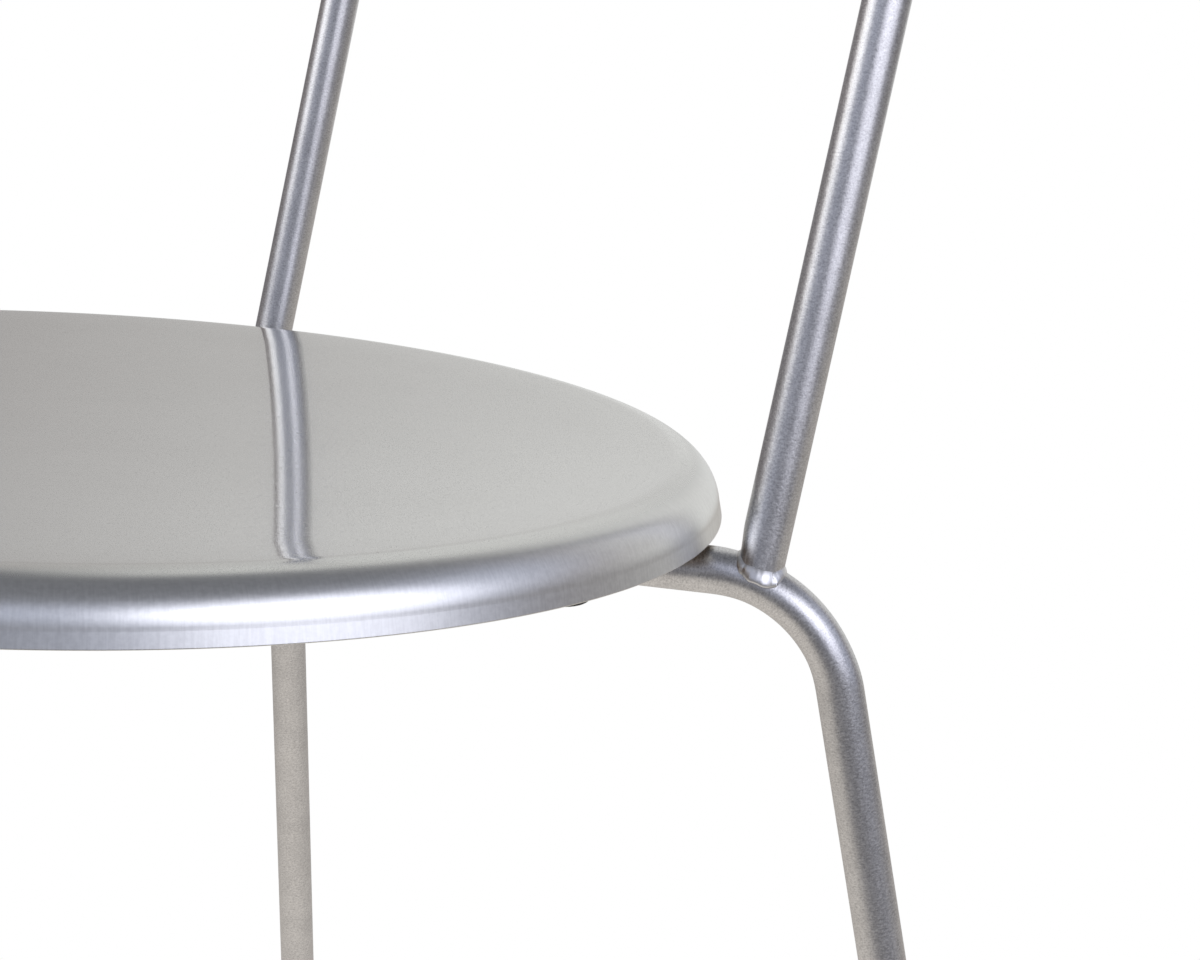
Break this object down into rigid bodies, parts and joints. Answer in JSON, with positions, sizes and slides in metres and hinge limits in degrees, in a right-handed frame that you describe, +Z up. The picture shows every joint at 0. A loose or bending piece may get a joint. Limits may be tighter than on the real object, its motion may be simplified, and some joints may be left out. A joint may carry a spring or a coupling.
{
  "type": "metal chair",
  "caption": "Metal dining chair with a round dished sheet seat on splayed bent-tube legs and an open hoop back of the same tube.",
  "frame": {"origin": "on the floor, under the centre of the seat and midway between the four feet", "axes": "+Z up; +Y to the back of the chair; +X to the sitter's left"},
  "size_m": [0.4996, 0.4996, 0.85],
  "materials": {
    "seat_steel": "satin, brushed across the rim",
    "tube_steel": "fine-grained satin",
    "weld_steel": "bright as welded",
    "core_board": "plain board",
    "buffer_rubber": "matt black",
    "glide_plastic": "matt black",
    "screw_steel": "zinc plated"
  },
  "bodies": {
    "root": {"seat_pan": "seat_steel", "seat_core": "core_board", "leg_front_left": "tube_steel", "leg_front_right": "tube_steel", "leg_rear_left": "tube_steel", "leg_rear_right": "tube_steel", "back_hoop": "tube_steel", "hoop_weld_left": "weld_steel", "hoop_weld_right": "weld_steel", "centre_welds": "weld_steel", "buffer_front_left": "buffer_rubber", "buffer_front_right": "buffer_rubber", "buffer_rear_left": "buffer_rubber", "buffer_rear_right": "buffer_rubber", "glide_front_left": "glide_plastic", "glide_front_right": "glide_plastic", "glide_rear_left": "glide_plastic", "glide_rear_right": "glide_plastic", "seat_screws": "screw_steel", "seat_washers": "screw_steel"}
  },
  "joints": []
}
